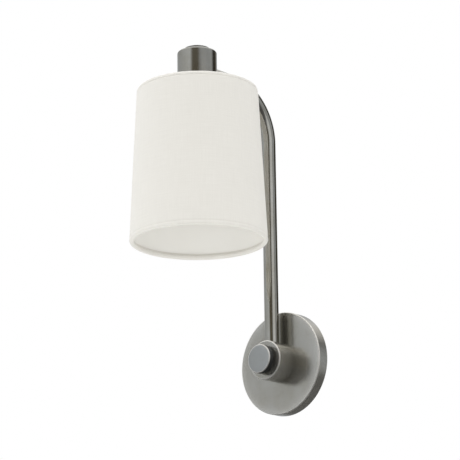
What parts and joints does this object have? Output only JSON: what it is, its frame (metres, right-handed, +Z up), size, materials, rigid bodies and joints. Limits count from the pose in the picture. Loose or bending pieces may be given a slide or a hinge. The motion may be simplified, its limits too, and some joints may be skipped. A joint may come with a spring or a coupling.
{
  "type": "wall sconce",
  "caption": "Wall sconce with a round backplate, a knob on a short hub, a bent tube arm, a socket cup and a tapered drum shade.",
  "frame": {"origin": "centre of the wall box's screw pattern in the wall plane, on the hub's axis", "axes": "+Z up along the arm's upright, +Y into the wall, -Y into the room"},
  "size_m": [0.1484, 0.2164, 0.3911],
  "materials": {
    "pewter": "brushed, aged pewter plating",
    "pewter_dark": "knurled, darkened in the grooves",
    "zinc": "zinc plated",
    "brass": "plain",
    "linen": "fine off-white weave",
    "styrene": "smooth white",
    "white_enamel": "white",
    "ivory_plastic": "moulded",
    "black_plastic": "moulded",
    "orange_plastic": "moulded",
    "bulb_glass": "frosted",
    "bulb_metal": "rolled thread",
    "filament": "phosphor coated",
    "wire_black": "insulation",
    "wire_white": "insulation",
    "wire_green": "insulation",
    "black_screw": "black oxide"
  },
  "bodies": {
    "fixture": {"backplate": "pewter", "crossbar": "zinc", "plate_set_screw": "black_screw", "hook_pin": "zinc", "ground_screw": "wire_green", "ground_tag": "brass", "hub_nipple": "brass", "hub_washer": "zinc", "hub_nut": "brass", "hub_body": "pewter", "hub_back": "zinc", "switch_body": "black_plastic", "switch_terminals": "brass", "switch_nut": "zinc", "arm_tube": "pewter", "arm_foot_bushing": "brass", "arm_foot_saddle": "zinc", "arm_foot_nut": "brass", "arm_head_bushing": "brass", "arm_head_saddle": "zinc", "arm_head_nut": "brass", "socket_cup": "pewter", "finial_disc": "pewter_dark", "finial_stud": "zinc", "stud_nut": "zinc", "socket_bridge": "zinc", "bridge_nut": "zinc", "socket_screws": "brass", "socket_body": "ivory_plastic", "socket_shell": "brass", "centre_contact": "brass", "shade_ring_nut": "ivory_plastic", "spider_ring": "white_enamel", "spider_spokes": "white_enamel", "shade_top_wire": "zinc", "shade_bottom_wire": "zinc", "shade_cover": "linen", "shade_liner": "styrene", "shade_top_hem": "linen", "shade_bottom_hem": "linen", "bulb_glass": "bulb_glass", "bulb_base": "bulb_metal", "bulb_stem": "bulb_glass", "bulb_filament": "filament", "lead_supply": "wire_black", "lead_switched": "wire_black", "lead_neutral": "wire_white", "lead_ground": "wire_green", "wire_connectors": "orange_plastic"},
    "knob": {"knob": "pewter_dark", "knob_set_screw": "black_screw", "switch_shaft": "zinc"}
  },
  "joints": [
    {"name": "knob_turn", "type": "hinge", "parent": "fixture", "child": "knob", "pos_m": [0, -0.045, 0], "axis": [0, 1, 0], "range_deg": [0, 300]}
  ]
}
